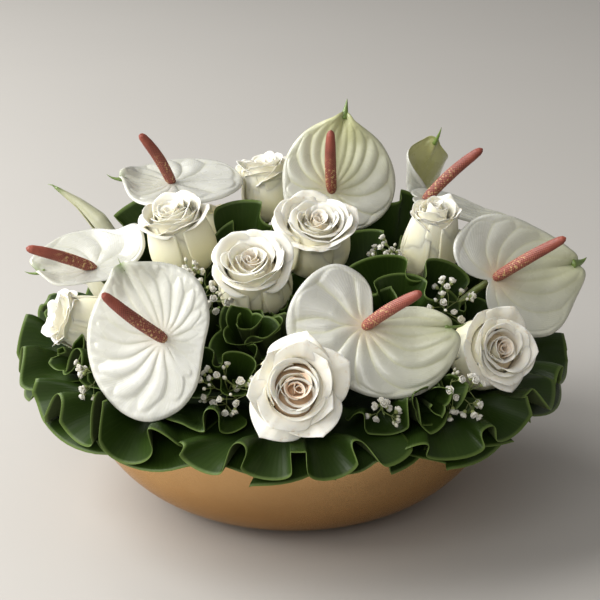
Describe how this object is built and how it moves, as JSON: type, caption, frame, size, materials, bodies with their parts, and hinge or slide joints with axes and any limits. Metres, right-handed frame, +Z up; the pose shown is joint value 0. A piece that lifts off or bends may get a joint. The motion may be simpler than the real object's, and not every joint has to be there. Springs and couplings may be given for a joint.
{
  "type": "floral table centerpiece",
  "caption": "Low round centerpiece of white anthuriums, white roses and baby's breath over a collar of ruffled green leaves, standing in foam in a rounded brass-coloured bowl",
  "frame": {"origin": "centre of the bowl's flat foot, on the table", "axes": "+Z up, out of the bowl; the arrangement's front faces -Y; +X is to the viewer's right"},
  "size_m": [0.4029, 0.396, 0.264],
  "materials": {
    "brass": "satin brushed, warm gold tone",
    "foam": null,
    "spathe": null,
    "spadix": null,
    "stem": null,
    "petal": null,
    "leaf": null,
    "floret": null
  },
  "bodies": {
    "root": {"bowl": "brass", "floral_foam": "foam", "spathe_back_centre": "spathe", "spathe_back_hood": "spathe", "spathe_back_left": "spathe", "spathe_back_right": "spathe", "spathe_front_left": "spathe", "spathe_front_right": "spathe", "spathe_left": "spathe", "spathe_right": "spathe", "spathe_rolled_bud": "spathe", "spadix_back_centre": "spadix", "spadix_back_hood": "spadix", "spadix_back_left": "spadix", "spadix_back_right": "spadix", "spadix_front_left": "spadix", "spadix_front_right": "spadix", "spadix_left": "spadix", "spadix_right": "spadix", "stem_back_centre": "stem", "stem_back_hood": "stem", "stem_back_left": "stem", "stem_back_right": "stem", "stem_front_left": "stem", "stem_front_right": "stem", "stem_left": "stem", "stem_right": "stem", "rose_back": "petal", "rose_behind": "petal", "rose_behind_left": "petal", "rose_behind_right": "petal", "rose_centre": "petal", "rose_centre_left": "petal", "rose_front": "petal", "rose_left": "petal", "rose_left_back": "petal", "rose_right": "petal", "rose_upper_left": "petal", "rose_upper_right": "petal", "leaf_back_centre": "leaf", "leaf_centre_left": "leaf", "leaf_centre_right": "leaf", "leaf_collar_1": "leaf", "leaf_collar_2": "leaf", "leaf_collar_3": "leaf", "leaf_collar_4": "leaf", "leaf_collar_5": "leaf", "leaf_collar_6": "leaf", "leaf_collar_7": "leaf", "leaf_collar_8": "leaf", "leaf_front_right": "leaf", "leaf_left": "leaf", "leaf_left_centre": "leaf", "leaf_upper_left": "leaf", "leaf_upper_right": "leaf", "spray_back_left": "floret", "spray_centre_left": "floret", "spray_front_left": "floret", "spray_front_right": "floret", "spray_right": "floret"}
  },
  "joints": []
}
